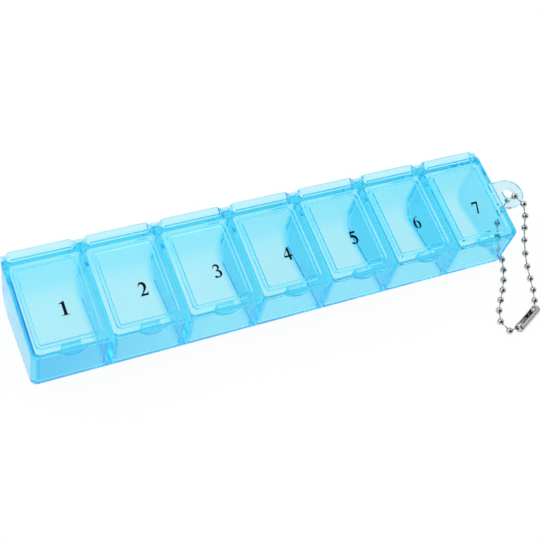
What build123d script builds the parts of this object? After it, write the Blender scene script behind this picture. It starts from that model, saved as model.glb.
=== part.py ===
from build123d import *
import math
import os

# Weekly pill box: a tray with seven compartments, a hinged lid over each one, and a ball chain in a lug.
# X runs along the days, with day 1 at -X and the lug at +X. The front is at -Y, and the base is on z = 0.

# Row of days, in millimetres and degrees
days = 7
row_length = 150.0
pitch = row_length / days
overrun = 2.0

# Tray outside
base_depth = 28.6
front_angle = 3.3
back_angle = 1.5
end_angle = 0.6
toe_edge_radius = 2.0
heel_edge_radius = 5.6
end_edge_radius = 1.9

# Tray inside
wall = 1.1
back_wall = 1.6
back_lean_angle = 3.5
partition = 1.1
partition_angle = 1.0
floor = 1.1
heel_radius = 4.7
toe_radius = 1.6
pocket_edge_radius = 1.4

# Lid plate and its place: the upper face rises from the front edge to the hinge
lid_front_height = 15.6
lid_slope = 10.0
lid_shortening = 0.6
lid_thickness = 1.0
lid_gap = 0.6
lid_front_radius = 1.6
lid_back_radius = 0.6
lid_edge_radius = 0.35
seat_gap = 0.15
tab_width = 8.2
tab_reach = 1.45

# Plug skirt and latch tongue under the lid
skirt_inset = 1.7
skirt_front = 2.5
skirt_back_inset = 1.6
skirt_wall = 1.0
skirt_depth = 1.3
skirt_radius = 1.6
tongue_width = 5.0
tongue_thickness = 1.2
tongue_depth = 3.4
tongue_inset = 1.2

# Hinge: a barrel with two pins on each lid, behind a groove, which turns in ears on the tray
barrel_radius = 1.5
barrel_inset = 1.9
barrel_edge_radius = 0.6
hinge_setback = 1.7
hinge_clearance = 0.3
groove_radius = 0.45
groove_setback = 1.1
pin_radius = 0.45
pin_clearance = 0.05
pin_length = 1.05
pin_chamfer = 0.15
ear_radius = 0.9
post_inset = 0.35
post_end_wall = 0.35

# Chain lug on the right end wall
lug_radius = 4.8
lug_offset = 5.2
lug_place_share = 0.52
lug_drop = 1.7
lug_thickness = 1.8
lug_hole_radius = 2.0
lug_edge_radius = 0.4
lug_root = 0.6

# Ball chain
bead_radius = 1.05
bead_wall = 0.22
bead_hole_radius = 0.27
wire_radius = 0.2
head_radius = 0.31
head_offset = 0.45
outer_bead_count = 11
inner_bead_count = 14
turn_share = 0.45

# Connector that closes the chain: a sleeve of folded sheet with a slot along one side and a wider mouth
connector_length = 11.3
connector_radius = 1.5
connector_sheet = 0.25
connector_end_radius = 0.6
connector_slot = 0.95
connector_mouth_width = 2.0
connector_mouth_length = 9.0
connector_roll = 55.0

# Routes of the two strands, from the middle of the lug's hole to their end beads in the connector
outer_route = [
    (80.35, -1.45, 15.2),
    (80.6, -2.6, 18.0),
    (81.7, -7.4, 17.4),
    (82.4, -9.6, 11.5),
    (82.6, -13.2, 5.6),
    (81.5, -19.0, 2.0),
    (80.0, -24.5, 1.1),
    (78.0, -30.0, 1.1),
    (74.6, -34.6, 1.55),
]
inner_route = [
    (80.35, -1.45, 15.2),
    (80.2, -0.6, 12.2),
    (78.6, -2.6, 7.2),
    (77.4, -7.4, 2.2),
    (76.3, -12.4, 1.1),
    (73.4, -18.6, 1.1),
    (69.5, -24.3, 1.1),
    (65.3, -29.0, 1.1),
    (62.2, -33.2, 1.1),
    (61.8, -37.0, 1.1),
    (63.9, -39.6, 1.1),
    (66.9, -38.4, 1.55),
]

# Places worked out from the sizes above
front_slope = math.tan(math.radians(front_angle))
back_slope = math.tan(math.radians(back_angle))
end_slope = math.tan(math.radians(end_angle))
front_y = -base_depth / 2 - lid_front_height * front_slope
lid_normal = (0, -math.sin(math.radians(lid_slope)), math.cos(math.radians(lid_slope)))
lid_frame = Plane(origin=(0, front_y, lid_front_height), x_dir=(1, 0, 0), z_dir=lid_normal)
rim = -(lid_thickness + seat_gap)
lid_depth = base_depth - lid_shortening
hinge_place = lid_depth + hinge_setback
lid_width = pitch - lid_gap
skirt_back = lid_depth - skirt_back_inset
barrel_length = pitch - 2 * barrel_inset
tray_top = lid_front_height + (hinge_place + overrun) * math.sin(math.radians(lid_slope)) + overrun


def day_middle(day):
    """Where the middle of a day lies along X; the first day is 0."""
    return (day + 0.5) * pitch - row_length / 2


def along_x(radius, length):
    """A round bar along X, centred on the origin."""
    return Rot(0, 90, 0) * Cylinder(radius, length)


def on_hinge(x):
    """The place on the hinge axis at x, in the lids' frame."""
    return Pos(x, hinge_place, -barrel_radius)


def corner(face, place):
    """The corner of a flat face nearest to a place."""
    return face.vertices().sort_by_distance(place)[0]


def tray_block():
    """The tray's outside, with leaning walls and rounded edges, before anything is cut from it."""
    front_foot = -base_depth / 2
    back_foot = base_depth / 2
    front_top = front_foot - tray_top * front_slope
    back_top = back_foot + tray_top * back_slope
    corners = [(front_foot, 0), (back_foot, 0), (back_top, tray_top), (front_top, tray_top)]
    side = make_face(Polyline(*corners, close=True))
    side = fillet(corner(side, (front_foot, 0)), toe_edge_radius)
    side = fillet(corner(side, (back_foot, 0)), heel_edge_radius)
    foot = row_length / 2 - lid_front_height * end_slope
    top = foot + tray_top * end_slope
    front = make_face(Polyline((-foot, 0), (foot, 0), (top, tray_top), (-top, tray_top), close=True))
    block = extrude(Plane.YZ * side, row_length, both=True) & extrude(Plane.XZ * front, row_length, both=True)
    ends = block.faces().sort_by(Axis.X)
    rounds = ends[0].edges() + ends[-1].edges()
    rounds = rounds.filter_by(lambda edge: edge.center().Z < tray_top - overrun / 2)
    return fillet(rounds, end_edge_radius)


def pocket_profile():
    """The compartments' section across the box: flat floor, rounded heel at the back, open at the top."""
    top = tray_top + overrun
    back_lean = math.tan(math.radians(back_lean_angle))
    front_foot = -base_depth / 2 + wall - floor * front_slope
    front_top = -base_depth / 2 + wall - top * front_slope
    back_foot = base_depth / 2 - back_wall - floor * back_lean
    back_top = base_depth / 2 - back_wall - top * back_lean
    corners = [(front_foot, floor), (back_foot, floor), (back_top, top), (front_top, top)]
    face = make_face(Polyline(*corners, close=True))
    face = fillet(corner(face, (front_foot, floor)), toe_radius)
    face = fillet(corner(face, (back_foot, floor)), heel_radius)
    return extrude(Plane.YZ * face, row_length, both=True)


def pocket(day, profile):
    """One compartment, with drafted partitions and rounded edges."""
    top = tray_top + overrun
    left = day * pitch - row_length / 2 + (wall if day == 0 else partition / 2)
    right = (day + 1) * pitch - row_length / 2 - (wall if day == days - 1 else partition / 2)
    draft = (top - floor) * math.tan(math.radians(partition_angle))
    corners = [(left + draft, floor), (right - draft, floor), (right, top), (left, top)]
    slab = extrude(Plane.XZ * make_face(Polyline(*corners, close=True)), base_depth, both=True)
    space = profile & slab
    edges = space.edges().filter_by(lambda edge: edge.center().Z < tray_top)
    return fillet(edges, pocket_edge_radius)


def make_tray():
    """Tray with partitions, hinge ears, end posts and the chain lug, in one moulding."""
    above = Box(2 * row_length, 4 * hinge_place, tray_top, align=(Align.CENTER, Align.CENTER, Align.MIN))
    tray = tray_block() - lid_frame * Pos(0, hinge_place, rim) * above
    profile = pocket_profile()
    for day in range(days):
        tray -= pocket(day, profile)
    tray += lid_frame * make_lug()
    for day in range(days):
        room = along_x(barrel_radius + hinge_clearance, barrel_length + 2 * hinge_clearance)
        tray -= lid_frame * on_hinge(day_middle(day)) * room
    ear_width = 2 * (barrel_inset - hinge_clearance)
    for line in range(1, days):
        tray += lid_frame * on_hinge(line * pitch - row_length / 2) * along_x(ear_radius, ear_width)
    post_length = ear_width / 2 - post_inset
    for side in (-1, 1):
        post_middle = side * (row_length / 2 - post_inset - post_length / 2)
        tray += lid_frame * on_hinge(post_middle) * along_x(ear_radius, post_length)
    bore_length = row_length - 2 * (post_inset + post_end_wall)
    tray -= lid_frame * on_hinge(0) * along_x(pin_radius + pin_clearance, bore_length)
    return tray


def make_lug():
    """A flat eye on the right end wall, parallel to the tray's rim."""
    eye_x = row_length / 2 + lug_offset
    eye_y = lug_place_share * lid_depth
    eye = Pos(eye_x, eye_y) * Circle(lug_radius)
    neck_length = lug_offset + lug_root
    eye += Pos(eye_x - neck_length / 2, eye_y) * Rectangle(neck_length, 2 * lug_radius)
    eye -= Pos(eye_x, eye_y) * Circle(lug_hole_radius)
    plate = extrude(Pos(0, 0, -lug_drop) * eye, -lug_thickness)
    faces = plate.faces().sort_by(Axis.Z)
    rims = faces[0].edges() + faces[-1].edges()
    return fillet(rims.filter_by(lambda edge: edge.center().X > row_length / 2), lug_edge_radius)


def make_lid(day):
    """Lid plate with thumb tab, plug skirt, latch tongue, hinge barrel and pins."""
    outline = Pos(0, lid_depth / 2) * Rectangle(lid_width, lid_depth)
    outline = fillet(outline.vertices().group_by(Axis.Y)[0], lid_front_radius)
    outline = fillet(outline.vertices().group_by(Axis.Y)[-1], lid_back_radius)
    tab_radius = ((tab_width / 2) ** 2 + tab_reach ** 2) / (2 * tab_reach)
    outline += Pos(0, tab_radius - tab_reach) * Circle(tab_radius)
    lid = extrude(outline, -lid_thickness)
    lid = fillet(lid.faces().sort_by(Axis.Z)[-1].edges(), lid_edge_radius)

    skirt_width = lid_width - 2 * skirt_inset
    skirt_length = skirt_back - skirt_front
    inner_width = skirt_width - 2 * skirt_wall
    inner_length = skirt_length - 2 * skirt_wall
    ring = RectangleRounded(skirt_width, skirt_length, skirt_radius)
    ring -= RectangleRounded(inner_width, inner_length, skirt_radius - skirt_wall)
    lid += Pos(0, skirt_front + skirt_length / 2, -lid_thickness) * extrude(ring, -skirt_depth)

    tongue = Box(tongue_width, tongue_thickness, tongue_depth, align=(Align.CENTER, Align.MIN, Align.MAX))
    tongue = fillet(tongue.faces().sort_by(Axis.Z)[0].edges(), tongue_thickness / 3)
    lid += Pos(0, tongue_inset, -lid_thickness) * tongue

    barrel = along_x(barrel_radius, barrel_length)
    barrel = fillet(barrel.edges().filter_by(GeomType.CIRCLE), barrel_edge_radius)
    lid += on_hinge(0) * barrel
    web_width = barrel_length - 2 * barrel_edge_radius
    web_length = hinge_place - skirt_back
    web = Box(web_width, web_length, lid_thickness, align=(Align.CENTER, Align.MIN, Align.MAX))
    lid += Pos(0, skirt_back, 0) * web
    lid -= Pos(0, hinge_place - groove_setback, 0) * along_x(groove_radius, pitch)
    pins = along_x(pin_radius, barrel_length + 2 * pin_length)
    lid += on_hinge(0) * chamfer(pins.edges().filter_by(GeomType.CIRCLE), pin_chamfer)
    return lid_frame * Pos(day_middle(day), 0) * lid


def strand(route):
    """The line of one strand: straight runs with arcs as large as the runs allow."""
    points = [Vector(*point) for point in route]
    radii = []
    for before, here, after in zip(points, points[1:], points[2:]):
        turn = math.radians((here - before).get_angle(after - here))
        run = min((here - before).length, (after - here).length)
        radii.append(turn_share * run / math.tan(turn / 2))
    print("strand radii", [round(radius, 2) for radius in radii])
    return FilletPolyline(*points, radius=radii)


def bead_places(line, count):
    """Bead centres: the first is half a step from the hole, and the last is at the line's end."""
    step = line.length / (count - 0.5)
    print("strand length", round(line.length, 2), "bead step", round(step, 3))
    return [line.position_at((k + 0.5) * step, position_mode=PositionMode.LENGTH) for k in range(count)]


def make_bead(place, neighbours):
    """A hollow bead with a hole towards each neighbour, and its seam and poles away from the holes."""
    along = neighbours[-1] - (neighbours[0] if len(neighbours) > 1 else place)
    across = along.cross(Vector(0, 0, 1))
    turned = Plane(origin=place, x_dir=across, z_dir=across.cross(along))
    bead = turned * (Sphere(bead_radius) - Sphere(bead_radius - bead_wall))
    for neighbour in neighbours:
        hole_length = bead_radius + overrun
        hole = Cylinder(bead_hole_radius, hole_length, align=(Align.CENTER, Align.CENTER, Align.MIN))
        bead -= Plane(origin=place, z_dir=neighbour - place) * hole
    return bead


def make_link(start, end):
    """A short wire with a round head at each end, caught inside two beads."""
    length = (end - start).length - 2 * head_offset
    link = Cylinder(wire_radius, length)
    for side in (-1, 1):
        link += Pos(0, 0, side * length / 2) * Sphere(head_radius)
    return Plane(origin=(start + end) / 2, z_dir=end - start) * link


def make_connector(start, end):
    """A round sleeve with closed ends, a slot towards the inside of the loop and a mouth rolled up from it."""
    axis = (end - start).normalized()
    inside = axis.cross(Vector(0, 0, 1))
    sleeve = Cylinder(connector_radius, connector_length)
    sleeve = fillet(sleeve.edges().filter_by(GeomType.CIRCLE), connector_end_radius)
    room = Cylinder(connector_radius - connector_sheet, connector_length - 2 * connector_sheet)
    sleeve -= fillet(room.edges().filter_by(GeomType.CIRCLE), connector_end_radius - connector_sheet)
    slot_depth = connector_radius + wire_radius
    slot_length = connector_length + overrun
    slot = Box(slot_depth, connector_slot, slot_length, align=(Align.MIN, Align.CENTER, Align.CENTER))
    sleeve -= Pos(-wire_radius, 0, 0) * slot
    mouth = Rot(0, 0, 90) * SlotOverall(connector_mouth_length, connector_mouth_width)
    sleeve -= Rot(0, 0, -connector_roll) * extrude(Plane.YZ * mouth, connector_radius + overrun)
    return Plane(origin=(start + end) / 2, x_dir=inside, z_dir=axis) * sleeve


def write(name, shape):
    """Writes one piece to its own file."""
    export_step(shape, os.path.join("parts", name + ".step"))


os.makedirs("parts", exist_ok=True)
write("tray", make_tray())
for day in range(days):
    write(f"lid_{day + 1}", make_lid(day))

outer_places = bead_places(strand(outer_route), outer_bead_count)
inner_places = bead_places(strand(inner_route), inner_bead_count)
places = outer_places[::-1] + inner_places
for k, place in enumerate(places):
    neighbours = places[max(k - 1, 0) : k] + places[k + 1 : k + 2]
    write(f"chain_bead_{k + 1:02d}", make_bead(place, neighbours))
for k, (start, end) in enumerate(zip(places, places[1:])):
    write(f"chain_link_{k + 1:02d}", make_link(start, end))
write("chain_connector", make_connector(places[0], places[-1]))
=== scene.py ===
import math

import bmesh
import bpy
from mathutils import Matrix, Vector


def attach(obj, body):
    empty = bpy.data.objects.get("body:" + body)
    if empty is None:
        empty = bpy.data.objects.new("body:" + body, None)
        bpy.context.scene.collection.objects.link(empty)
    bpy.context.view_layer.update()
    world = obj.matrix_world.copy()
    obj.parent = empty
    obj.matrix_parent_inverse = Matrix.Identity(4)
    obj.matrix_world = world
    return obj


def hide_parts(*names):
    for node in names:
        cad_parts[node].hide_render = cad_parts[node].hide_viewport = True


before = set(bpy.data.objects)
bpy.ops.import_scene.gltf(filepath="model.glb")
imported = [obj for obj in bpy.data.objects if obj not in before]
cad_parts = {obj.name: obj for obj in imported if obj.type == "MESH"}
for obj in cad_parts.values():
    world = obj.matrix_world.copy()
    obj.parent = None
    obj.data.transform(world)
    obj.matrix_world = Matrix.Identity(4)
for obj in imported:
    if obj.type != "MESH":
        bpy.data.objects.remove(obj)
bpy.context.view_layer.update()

# Camera: the photograph's viewing angle, in metres in the part's frame
CAMERA_PLACE = (-0.11577, -0.15152, 0.24374)
CAMERA_RIGHT = (0.898342, -0.400433, 0.180652)
CAMERA_UP = (0.223004, 0.769991, 0.597815)
CAMERA_LENS = 70.0
CAMERA_SENSOR = 36.0
CAMERA_NEAR = 0.01

# Lid plane, as in the solids
DAYS = 7
ROW_LENGTH = 0.150
PITCH = ROW_LENGTH / DAYS
LID_SLOPE = math.radians(10.0)
LID_FRONT = Vector((0.0, -0.0151995, 0.0156))
LID_ALONG = Vector((0.0, math.cos(LID_SLOPE), math.sin(LID_SLOPE)))
LID_NORMAL = Vector((0.0, -math.sin(LID_SLOPE), math.cos(LID_SLOPE)))

# Clear blue plastic
PLASTIC_IOR = 1.33
PLASTIC_SHEEN_TINT = (0.35, 0.80, 1.0)
PLASTIC_DEPTH_COLOUR = (0.0, 0.88, 0.995)
PLASTIC_WAVES = 120.0
PLASTIC_WAVE_DETAIL = 2.0
PLASTIC_WAVE_HEIGHT = 0.0000025
PLASTIC_ROUGHNESS = (0.06, 0.12)
TRAY_DENSITY = 90.0
LID_DENSITY = 110.0

# Painted shade: base colours of the front, back, level and side faces, and of the front at its left end. The blue is
# the plastic's own, but the differences between faces are painted light and shade: sides, front and its left end
# deeper, level faces paler
TRAY_PAINTED_SHADE_TINTS = ((0.40, 0.86, 0.99), (0.54, 0.90, 0.99), (0.70, 0.94, 0.99), (0.25, 0.79, 1.0), (0.11, 0.61, 0.95))
LID_PAINTED_SHADE_TINTS = ((0.55, 0.92, 1.0), (0.60, 0.93, 1.0), (0.80, 0.96, 0.99), (0.44, 0.89, 1.0), (0.55, 0.92, 1.0))

# Painted shade: the front wall is painted deeper near the left end, over this far, and deeper than the back wall
END_PAINTED_SHADE_FADE = 0.05
FRONT_INSIDE = -0.0125
FRONT_PAINTED_SHADE_FADE = 0.002

# Painted light: the lug is painted a little paler than the box, whose colour holds painted shade; the colour fades
# over this far on each side of the end wall
LUG_PAINTED_LIGHT_FADE = 0.0004
LUG_PAINTED_LIGHT_TINT = (0.79, 0.90, 0.94)

# Nickel plate of the chain
NICKEL_COLOUR = (0.52, 0.52, 0.50)
NICKEL_POLISH = 900.0
NICKEL_POLISH_DETAIL = 3.0
NICKEL_POLISH_HEIGHT = 0.00001
NICKEL_ROUGHNESS = (0.06, 0.18)

# Printed numbers on the lids, and their ink
NUMBER_HEIGHT = 0.0041
NUMBER_FOOT = 0.0095
NUMBER_SHIFT = 0.0009
NUMBER_SMOOTHNESS = 8
INK_LIFT = 0.000004
INK_THICKNESS = 0.000020
INK_DARK = (0.002, 0.002, 0.003)
INK_LIGHT = (0.008, 0.008, 0.010)
INK_PATCHES = 1500.0
INK_PATCH_DETAIL = 4.0
INK_ROUGHNESS = (0.45, 0.7)
INK_GLOSS = 0.06
SAME_POINT = 1e-7

# Ball chain
BEAD_RADIUS = 0.00105
BEAD_HOLE = 0.00030
BEAD_CUP = 0.00025
BEAD_SEGMENTS = 32
BEAD_STEPS = 18
WIRE_RADIUS = 0.00020
WIRE_SEGMENTS = 14
OUTER_BEADS = 11
INNER_BEADS = 14
ROUTE_SMOOTHNESS = 48

# Routes of the chain's two strands, from the lug's hole to their end beads in the connector
OUTER_ROUTE = [
    (0.08035, -0.00145, 0.0152),
    (0.0806, -0.0026, 0.0180),
    (0.0817, -0.0074, 0.0174),
    (0.0824, -0.0096, 0.0115),
    (0.0826, -0.0132, 0.0056),
    (0.0815, -0.0190, 0.0020),
    (0.0800, -0.0245, 0.0011),
    (0.0780, -0.0300, 0.0011),
    (0.0746, -0.0346, 0.00155),
]
INNER_ROUTE = [
    (0.08035, -0.00145, 0.0152),
    (0.0802, -0.0006, 0.0122),
    (0.0786, -0.0026, 0.0072),
    (0.0774, -0.0074, 0.0022),
    (0.0763, -0.0124, 0.0011),
    (0.0734, -0.0186, 0.0011),
    (0.0695, -0.0243, 0.0011),
    (0.0653, -0.0290, 0.0011),
    (0.0622, -0.0332, 0.0011),
    (0.0618, -0.0370, 0.0011),
    (0.0639, -0.0396, 0.0011),
    (0.0669, -0.0384, 0.00155),
]

# Floor, a hair below the box, and the share of its white that is seen without shadow
FLOOR_REACH = 2.0
FLOOR_HEIGHT = -0.0002
FLOOR_COLOUR = (0.96, 0.96, 0.96)
FLOOR_ROUGHNESS = 0.9
FLOOR_GLOSS = 0.1
FLOOR_GLOW = 0.94

# Soft dome: its light on the object, and its dark side, which only mirrored light sees
WHITE = (1.0, 1.0, 1.0)
DOME_LIGHT = 0.85
DARK_SIDE = (0.10, -0.75, 0.65)
DARK_COLOUR = (0.04, 0.04, 0.045)
DARK_START = 0.30
DARK_END = 0.62

# Softboxes: each is (name, place, size, power)
SOFTBOXES = (
    ("key", (-0.5, 0.35, 0.7), 0.5, 1.6),
    ("fill", (0.6, -0.3, 0.6), 0.5, 1.0),
    ("overhead", (0.05, 0.18, 0.85), 0.45, 0.3),
)

# Light has to pass many walls of the box
BOUNCES = {
    "max_bounces": 48,
    "diffuse_bounces": 32,
    "glossy_bounces": 24,
    "transmission_bounces": 32,
    "transparent_max_bounces": 32,
}

# Outlines of the numerals, one unit high: each point is a corner (c) or lies on a smooth curve (s)
NUMERALS = {
    1: [[(0.05, 0, "c"), (0.57, 0, "c"), (0.57, 0.04, "c"), (0.46, 0.055, "s"), (0.41, 0.12, "c"), (0.41, 1.0, "c"),
         (0.36, 1.0, "c"), (0.04, 0.86, "c"), (0.05, 0.82, "c"), (0.16, 0.845, "s"), (0.21, 0.78, "c"),
         (0.21, 0.12, "c"), (0.16, 0.055, "s"), (0.05, 0.04, "c")]],
    2: [[(0.02, 0, "c"), (0.55, 0, "c"), (0.61, 0.26, "c"), (0.575, 0.26, "c"), (0.53, 0.18, "s"), (0.45, 0.155, "c"),
         (0.225, 0.155, "c"), (0.41, 0.35, "s"), (0.535, 0.53, "s"), (0.57, 0.71, "s"), (0.49, 0.92, "s"),
         (0.29, 1.0, "s"), (0.11, 0.92, "s"), (0.025, 0.70, "c"), (0.06, 0.69, "c"), (0.12, 0.81, "s"),
         (0.215, 0.85, "s"), (0.335, 0.79, "s"), (0.375, 0.64, "s"), (0.33, 0.46, "s"), (0.20, 0.25, "s"),
         (0.02, 0.035, "c")]],
    3: [[(0.05, 0.73, "c"), (0.12, 0.92, "s"), (0.29, 1.0, "s"), (0.47, 0.93, "s"), (0.53, 0.78, "s"),
         (0.48, 0.64, "s"), (0.39, 0.565, "c"), (0.53, 0.47, "s"), (0.585, 0.31, "s"), (0.51, 0.10, "s"),
         (0.23, -0.01, "s"), (0.05, 0.03, "s"), (0.01, 0.10, "s"), (0.09, 0.17, "s"), (0.20, 0.13, "s"),
         (0.29, 0.075, "s"), (0.39, 0.14, "s"), (0.42, 0.28, "s"), (0.36, 0.42, "s"), (0.20, 0.485, "c"),
         (0.20, 0.52, "c"), (0.33, 0.61, "s"), (0.375, 0.73, "s"), (0.33, 0.84, "s"), (0.23, 0.875, "s"),
         (0.14, 0.83, "s"), (0.085, 0.72, "c")]],
    4: [[(0.33, 0, "c"), (0.50, 0, "c"), (0.50, 0.235, "c"), (0.61, 0.235, "c"), (0.61, 0.375, "c"),
         (0.50, 0.375, "c"), (0.50, 1.0, "c"), (0.40, 1.0, "c"), (0, 0.375, "c"), (0, 0.235, "c"), (0.33, 0.235, "c")],
        [(0.33, 0.375, "c"), (0.33, 0.79, "c"), (0.065, 0.375, "c")]],
    5: [[(0.13, 1.0, "c"), (0.57, 1.0, "c"), (0.52, 0.84, "c"), (0.20, 0.84, "c"), (0.175, 0.73, "c"),
         (0.38, 0.68, "s"), (0.53, 0.55, "s"), (0.58, 0.36, "s"), (0.49, 0.10, "s"), (0.22, -0.01, "s"),
         (0.05, 0.03, "s"), (0.01, 0.10, "s"), (0.09, 0.17, "s"), (0.19, 0.135, "s"), (0.27, 0.085, "s"),
         (0.37, 0.15, "s"), (0.405, 0.30, "s"), (0.32, 0.46, "s"), (0.06, 0.53, "c")]],
    6: [[(0.55, 0.99, "c"), (0.55, 0.955, "c"), (0.40, 0.90, "s"), (0.28, 0.77, "s"), (0.23, 0.59, "c"),
         (0.36, 0.625, "s"), (0.52, 0.54, "s"), (0.58, 0.33, "s"), (0.50, 0.08, "s"), (0.30, -0.01, "s"),
         (0.10, 0.09, "s"), (0.02, 0.36, "s"), (0.09, 0.66, "s"), (0.28, 0.89, "s")],
        [(0.30, 0.555, "s"), (0.215, 0.48, "s"), (0.20, 0.30, "s"), (0.225, 0.12, "s"), (0.305, 0.04, "s"),
         (0.385, 0.12, "s"), (0.405, 0.30, "s"), (0.38, 0.48, "s")]],
    7: [[(0.06, 1.0, "c"), (0.58, 1.0, "c"), (0.58, 0.965, "c"), (0.30, 0, "c"), (0.165, 0, "c"), (0.425, 0.84, "c"),
         (0.19, 0.84, "c"), (0.10, 0.80, "s"), (0.05, 0.68, "c"), (0.015, 0.69, "c")]],
}
NUMERAL_WIDTH = 0.60


def link(thing):
    """Puts an object into the scene."""
    bpy.context.scene.collection.objects.link(thing)
    return thing


def make_camera():
    """Camera with the fitted place and turn."""
    data = bpy.data.cameras.new("camera")
    data.lens = CAMERA_LENS
    data.sensor_width = CAMERA_SENSOR
    data.sensor_fit = "HORIZONTAL"
    data.clip_start = CAMERA_NEAR
    right = Vector(CAMERA_RIGHT).normalized()
    back = right.cross(Vector(CAMERA_UP)).normalized()
    up = back.cross(right)
    turn = Matrix((right, up, back)).transposed()
    camera = link(bpy.data.objects.new("camera", data))
    camera.matrix_world = Matrix.Translation(CAMERA_PLACE) @ turn.to_4x4()
    bpy.context.scene.camera = camera


def opaque(colour):
    """A colour with its fourth number."""
    return (*colour, 1.0)


def new_material(name):
    """A node material, its tree and its shader."""
    material = bpy.data.materials.new(name)
    material.use_nodes = True
    tree = material.node_tree
    return material, tree, tree.nodes["Principled BSDF"]


def noise(tree, scale, detail):
    """Noise in the object's own coordinates."""
    coords = tree.nodes.new("ShaderNodeTexCoord")
    texture = tree.nodes.new("ShaderNodeTexNoise")
    texture.inputs["Scale"].default_value = scale
    texture.inputs["Detail"].default_value = detail
    tree.links.new(coords.outputs["Object"], texture.inputs["Vector"])
    return texture.outputs["Fac"]


def spread(tree, source, low, high):
    """Maps a texture onto a range."""
    node = tree.nodes.new("ShaderNodeMapRange")
    node.inputs["To Min"].default_value = low
    node.inputs["To Max"].default_value = high
    tree.links.new(source, node.inputs["Value"])
    return node.outputs["Result"]


def rise(tree, source, low, high):
    """Rises from 0 to 1 between two values."""
    node = tree.nodes.new("ShaderNodeMapRange")
    node.inputs["From Min"].default_value = low
    node.inputs["From Max"].default_value = high
    tree.links.new(source, node.inputs["Value"])
    return node.outputs["Result"]


def bump(tree, shader, source, height):
    """Small waves on the surface."""
    node = tree.nodes.new("ShaderNodeBump")
    node.inputs["Strength"].default_value = 1.0
    node.inputs["Distance"].default_value = height
    tree.links.new(source, node.inputs["Height"])
    tree.links.new(node.outputs["Normal"], shader.inputs["Normal"])


def blend(tree, share, low, high):
    """Mixes two colours; each is a colour or a node's output."""
    node = tree.nodes.new("ShaderNodeMix")
    node.data_type = "RGBA"
    tree.links.new(share, node.inputs["Factor"])
    for place, colour in (("A", low), ("B", high)):
        if isinstance(colour, tuple):
            node.inputs[place].default_value = opaque(colour)
        else:
            tree.links.new(colour, node.inputs[place])
    return node.outputs["Result"]


def maths(tree, operation, *values):
    """A maths node; each value is a number or a node's output."""
    node = tree.nodes.new("ShaderNodeMath")
    node.operation = operation
    for socket, value in zip(node.inputs, values):
        if isinstance(value, float):
            socket.default_value = value
        else:
            tree.links.new(value, socket)
    return node.outputs[0]


def axes(tree, source):
    """A vector's three numbers."""
    node = tree.nodes.new("ShaderNodeSeparateXYZ")
    tree.links.new(source, node.inputs["Vector"])
    return node.outputs


def seen_white(tree, path):
    """1 for the rays that show the background: seen directly, mirrored or through the plastic."""
    shown = maths(tree, "MAXIMUM", path.outputs["Is Camera Ray"], path.outputs["Is Glossy Ray"])
    return maths(tree, "MAXIMUM", shown, path.outputs["Is Transmission Ray"])


def plastic(name, painted_shades, density):
    """Clear blue plastic with painted light and shade in its base colour: painted_shades are the colours for the
    front, back, level and side faces, and the front's left end.
    """
    material, tree, shader = new_material(name)
    shader.inputs["Transmission Weight"].default_value = 1.0
    shader.inputs["IOR"].default_value = PLASTIC_IOR
    shader.inputs["Specular Tint"].default_value = opaque(PLASTIC_SHEEN_TINT)
    waves = noise(tree, PLASTIC_WAVES, PLASTIC_WAVE_DETAIL)
    tree.links.new(spread(tree, waves, *PLASTIC_ROUGHNESS), shader.inputs["Roughness"])
    bump(tree, shader, waves, PLASTIC_WAVE_HEIGHT)
    coords = tree.nodes.new("ShaderNodeTexCoord")
    normal = tree.nodes.new("ShaderNodeVectorMath")
    normal.operation = "ABSOLUTE"
    tree.links.new(coords.outputs["Normal"], normal.inputs[0])
    facing = axes(tree, normal.outputs["Vector"])
    place = axes(tree, coords.outputs["Object"])
    row_end = ROW_LENGTH / 2
    left_end_shade_mask = rise(tree, place["X"], -row_end, END_PAINTED_SHADE_FADE - row_end)
    lug_light_mask = rise(tree, place["X"], row_end - LUG_PAINTED_LIGHT_FADE, row_end + LUG_PAINTED_LIGHT_FADE)
    past_front_shade_mask = rise(tree, place["Y"], FRONT_INSIDE, FRONT_INSIDE + FRONT_PAINTED_SHADE_FADE)
    # Painted shade and light: side faces, the front wall and its left end are painted deeper blue and level faces
    # paler, standing in for light passing through and under the box
    front, back, level, side, end = painted_shades
    colour = blend(tree, left_end_shade_mask, end, front)
    colour = blend(tree, past_front_shade_mask, colour, back)
    colour = blend(tree, facing["Z"], colour, level)
    colour = blend(tree, facing["X"], colour, side)
    # Painted light: the lug is painted paler than the box
    colour = blend(tree, lug_light_mask, colour, LUG_PAINTED_LIGHT_TINT)
    tree.links.new(colour, shader.inputs["Base Color"])
    volume = tree.nodes.new("ShaderNodeVolumeAbsorption")
    volume.inputs["Color"].default_value = opaque(PLASTIC_DEPTH_COLOUR)
    volume.inputs["Density"].default_value = density
    tree.links.new(volume.outputs["Volume"], tree.nodes["Material Output"].inputs["Volume"])
    return material


def nickel_plate():
    """Bright nickel plate with a fine uneven polish."""
    material, tree, shader = new_material("nickel_plate")
    shader.inputs["Metallic"].default_value = 1.0
    shader.inputs["Base Color"].default_value = opaque(NICKEL_COLOUR)
    polish = noise(tree, NICKEL_POLISH, NICKEL_POLISH_DETAIL)
    tree.links.new(spread(tree, polish, *NICKEL_ROUGHNESS), shader.inputs["Roughness"])
    bump(tree, shader, polish, NICKEL_POLISH_HEIGHT)
    return material


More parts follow.
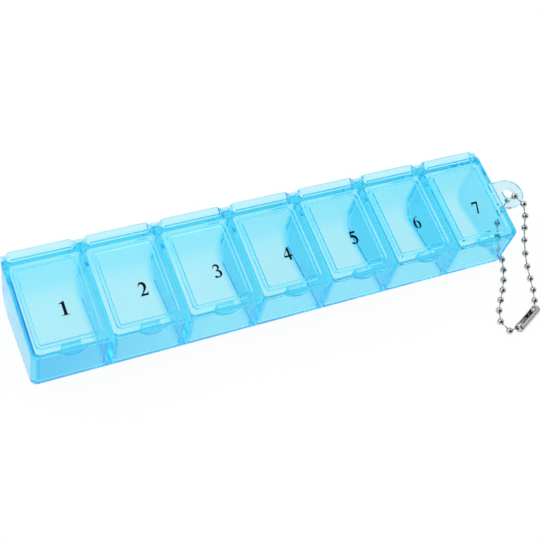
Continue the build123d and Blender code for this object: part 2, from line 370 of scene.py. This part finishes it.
def black_ink():
    """Pad-printed ink, a little uneven."""
    material, tree, shader = new_material("black_ink")
    patches = noise(tree, INK_PATCHES, INK_PATCH_DETAIL)
    ramp = tree.nodes.new("ShaderNodeValToRGB")
    ramp.color_ramp.elements[0].color = opaque(INK_DARK)
    ramp.color_ramp.elements[1].color = opaque(INK_LIGHT)
    tree.links.new(patches, ramp.inputs["Fac"])
    tree.links.new(ramp.outputs["Color"], shader.inputs["Base Color"])
    tree.links.new(spread(tree, patches, *INK_ROUGHNESS), shader.inputs["Roughness"])
    shader.inputs["Specular IOR Level"].default_value = INK_GLOSS
    return material


def dress_nodes(nickel):
    """Gives every CAD node its material."""
    tray_blue = plastic("clear_blue_tray", TRAY_PAINTED_SHADE_TINTS, TRAY_DENSITY)
    lid_blue = plastic("clear_blue_lid", LID_PAINTED_SHADE_TINTS, LID_DENSITY)
    for name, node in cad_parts.items():
        node.data.materials.clear()
        if name.startswith("chain"):
            node.data.materials.append(nickel)
        else:
            node.data.materials.append(tray_blue if name == "tray" else lid_blue)


def spline_points(route):
    """Points read from the route's smooth spline."""
    data = bpy.data.curves.new("route", "CURVE")
    data.dimensions = "3D"
    data.resolution_u = ROUTE_SMOOTHNESS
    spline = data.splines.new("NURBS")
    spline.points.add(len(route) - 1)
    for point, place in zip(spline.points, route):
        point.co = (*place, 1.0)
    spline.order_u = 3
    spline.use_endpoint_u = True
    carrier = bpy.data.objects.new("route", data)
    mesh = bpy.data.meshes.new_from_object(carrier)
    points = [vertex.co.copy() for vertex in mesh.vertices]
    bpy.data.objects.remove(carrier)
    bpy.data.meshes.remove(mesh)
    bpy.data.curves.remove(data)
    return points


def path_length(points):
    """Length of a line of points."""
    return sum((b - a).length for a, b in zip(points, points[1:]))


def on_path(points, distance):
    """The place at a distance along a line of points."""
    for a, b in zip(points, points[1:]):
        run = (b - a).length
        if distance <= run:
            return a.lerp(b, distance / run)
        distance -= run
    return points[-1].copy()


def bead_places(points, count):
    """Bead centres: the first is half a step from the hole, and the last is at the line's end."""
    step = path_length(points) / (count - 0.5)
    return [on_path(points, (k + 0.5) * step) for k in range(count)]


def turned(mesh, profile, place, axis, segments):
    """Adds a closed turned form: profile points are (distance along the axis, radius)."""
    side = axis.orthogonal().normalized()
    other = axis.cross(side)
    rings = []
    for along, radius in profile:
        ring = []
        for k in range(segments):
            angle = 2 * math.pi * k / segments
            spoke = side * math.cos(angle) + other * math.sin(angle)
            ring.append(mesh.verts.new(place + axis * along + spoke * radius))
        rings.append(ring)
    for low, high in zip(rings, rings[1:]):
        for k in range(segments):
            after = (k + 1) % segments
            mesh.faces.new((low[k], low[after], high[after], high[k]))
    mesh.faces.new(rings[0][::-1])
    mesh.faces.new(rings[-1])


def bead_profile():
    """Section of a bead: a sphere with a cupped hole at each end."""
    rim = math.asin(BEAD_HOLE / BEAD_RADIUS)
    cup = BEAD_RADIUS * math.cos(rim) - BEAD_CUP
    profile = [(-cup, WIRE_RADIUS)]
    for k in range(BEAD_STEPS + 1):
        angle = rim + (math.pi - 2 * rim) * k / BEAD_STEPS
        profile.append((-BEAD_RADIUS * math.cos(angle), BEAD_RADIUS * math.sin(angle)))
    profile.append((cup, WIRE_RADIUS))
    return profile


def make_strand(name, places, before):
    """Beads and link wires of one strand; before is the bead on the other side of the lug, or None."""
    mesh = bmesh.new()
    chain = ([before] if before is not None else []) + places
    for k, place in enumerate(places):
        here = k + len(chain) - len(places)
        low = chain[max(here - 1, 0)]
        high = chain[min(here + 1, len(chain) - 1)]
        turned(mesh, bead_profile(), place, (high - low).normalized(), BEAD_SEGMENTS)
    for a, b in zip(chain, chain[1:]):
        run = b - a
        inside = BEAD_RADIUS - 2 * BEAD_CUP
        wire = [(inside, WIRE_RADIUS), (run.length - inside, WIRE_RADIUS)]
        turned(mesh, wire, a, run.normalized(), WIRE_SEGMENTS)
    data = bpy.data.meshes.new(name)
    mesh.to_mesh(data)
    mesh.free()
    for face in data.polygons:
        face.use_smooth = len(face.vertices) == 4
    return link(bpy.data.objects.new(name, data))


def numbered(kind, first, last):
    """Names of a run of chain nodes."""
    return [f"chain_{kind}_{k:02d}" for k in range(first, last + 1)]


def make_chain(nickel):
    """The ball chain: two strands from the lug's hole to the connector."""
    outer_points = spline_points(OUTER_ROUTE)
    inner_points = spline_points(INNER_ROUTE)
    outer_places = bead_places(outer_points, OUTER_BEADS)
    inner_places = bead_places(inner_points, INNER_BEADS)
    outer = make_strand("chain_outer_strand", outer_places, inner_places[0])
    inner = make_strand("chain_inner_strand", inner_places, None)
    beads = OUTER_BEADS + INNER_BEADS
    outer_nodes = numbered("bead", 1, OUTER_BEADS) + numbered("link", 1, OUTER_BEADS)
    inner_nodes = numbered("bead", OUTER_BEADS + 1, beads) + numbered("link", OUTER_BEADS + 1, beads - 1)
    for piece, points, names in ((outer, outer_points, outer_nodes), (inner, inner_points, inner_nodes)):
        piece.data.materials.append(nickel)
        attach(piece, "box")
        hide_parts(*names)


def numeral_mesh(day):
    """A filled numeral, one unit high."""
    data = bpy.data.curves.new(f"number_{day}", "CURVE")
    data.dimensions = "2D"
    data.fill_mode = "BOTH"
    data.extrude = INK_THICKNESS / 2 / NUMBER_HEIGHT
    data.resolution_u = NUMBER_SMOOTHNESS
    for outline in NUMERALS[day]:
        spline = data.splines.new("BEZIER")
        spline.bezier_points.add(len(outline) - 1)
        spline.use_cyclic_u = True
        for point, (x, y, kind) in zip(spline.bezier_points, outline):
            point.co = (x - NUMERAL_WIDTH / 2, y, 0)
            point.handle_left_type = "AUTO" if kind == "s" else "VECTOR"
            point.handle_right_type = "AUTO" if kind == "s" else "VECTOR"
    carrier = link(bpy.data.objects.new("carrier", data))
    bpy.context.view_layer.update()
    mesh = bpy.data.meshes.new_from_object(carrier.evaluated_get(bpy.context.evaluated_depsgraph_get()))
    bpy.data.objects.remove(carrier)
    bpy.data.curves.remove(data)
    return mesh


def make_number(day, ink):
    """A printed numeral on a lid's upper face."""
    mesh = numeral_mesh(day)
    place = LID_FRONT + LID_ALONG * NUMBER_FOOT + LID_NORMAL * (INK_LIFT + INK_THICKNESS / 2)
    place.x = (day - 0.5) * PITCH - ROW_LENGTH / 2 + NUMBER_SHIFT
    turn = Matrix((Vector((1, 0, 0)), LID_ALONG, LID_NORMAL)).transposed().to_4x4()
    mesh.transform(Matrix.Translation(place) @ turn @ Matrix.Scale(NUMBER_HEIGHT, 4))
    joined = bmesh.new()
    joined.from_mesh(mesh)
    bmesh.ops.remove_doubles(joined, verts=joined.verts, dist=SAME_POINT)
    bmesh.ops.recalc_face_normals(joined, faces=joined.faces)
    joined.to_mesh(mesh)
    joined.free()
    number = link(bpy.data.objects.new(f"number_{day}", mesh))
    number.data.materials.clear()
    number.data.materials.append(ink)
    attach(number, f"day_{day}")


def make_floor():
    """White floor that keeps the object's shadow."""
    reach = FLOOR_REACH
    mesh = bpy.data.meshes.new("floor")
    mesh.from_pydata([(-reach, -reach, 0), (reach, -reach, 0), (reach, reach, 0), (-reach, reach, 0)],
                     [], [(0, 1, 2, 3)])
    floor = link(bpy.data.objects.new("floor", mesh))
    floor.location = (0, 0, FLOOR_HEIGHT)
    paper, tree, matt = new_material("white_floor")
    matt.inputs["Base Color"].default_value = opaque(FLOOR_COLOUR)
    matt.inputs["Roughness"].default_value = FLOOR_ROUGHNESS
    matt.inputs["Specular IOR Level"].default_value = FLOOR_GLOSS
    glow = tree.nodes.new("ShaderNodeEmission")
    glow.inputs["Strength"].default_value = 1.0
    path = tree.nodes.new("ShaderNodeLightPath")
    mixed = tree.nodes.new("ShaderNodeMixShader")
    tree.links.new(maths(tree, "MULTIPLY", seen_white(tree, path), FLOOR_GLOW), mixed.inputs[0])
    tree.links.new(matt.outputs[0], mixed.inputs[1])
    tree.links.new(glow.outputs[0], mixed.inputs[2])
    tree.links.new(mixed.outputs[0], tree.nodes["Material Output"].inputs["Surface"])
    mesh.materials.append(paper)


def make_dome():
    """Soft white dome; mirrored light also sees its dark side."""
    world = bpy.data.worlds.new("world")
    bpy.context.scene.world = world
    world.use_nodes = True
    tree = world.node_tree
    coords = tree.nodes.new("ShaderNodeTexCoord")
    facing = tree.nodes.new("ShaderNodeVectorMath")
    facing.operation = "DOT_PRODUCT"
    facing.inputs[1].default_value = DARK_SIDE
    tree.links.new(coords.outputs["Generated"], facing.inputs[0])
    ramp = tree.nodes.new("ShaderNodeValToRGB")
    ramp.color_ramp.elements[0].position = DARK_START
    ramp.color_ramp.elements[0].color = opaque(WHITE)
    ramp.color_ramp.elements[1].position = DARK_END
    ramp.color_ramp.elements[1].color = opaque(DARK_COLOUR)
    tree.links.new(facing.outputs["Value"], ramp.inputs["Fac"])
    path = tree.nodes.new("ShaderNodeLightPath")
    mirrored = maths(tree, "GREATER_THAN", path.outputs["Is Glossy Ray"], path.outputs["Is Transmission Ray"])
    background = tree.nodes["Background"]
    tree.links.new(blend(tree, mirrored, WHITE, ramp.outputs["Color"]), background.inputs["Color"])
    level = maths(tree, "MULTIPLY_ADD", seen_white(tree, path), 1.0 - DOME_LIGHT, DOME_LIGHT)
    tree.links.new(level, background.inputs["Strength"])


def make_softboxes():
    """Lamps, each turned to the box."""
    for name, place, size, power in SOFTBOXES:
        data = bpy.data.lights.new(name, "AREA")
        data.size = size
        data.energy = power
        lamp = link(bpy.data.objects.new(name, data))
        lamp.location = place
        lamp.rotation_euler = (-Vector(place)).to_track_quat("-Z", "Y").to_euler()


make_camera()
chain_nickel = nickel_plate()
dress_nodes(chain_nickel)
make_chain(chain_nickel)
number_ink = black_ink()
for number_day in range(1, DAYS + 1):
    make_number(number_day, number_ink)
make_floor()
make_dome()
make_softboxes()
for setting, count in BOUNCES.items():
    setattr(bpy.context.scene.cycles, setting, count)
bpy.context.scene.view_settings.view_transform = "Standard"
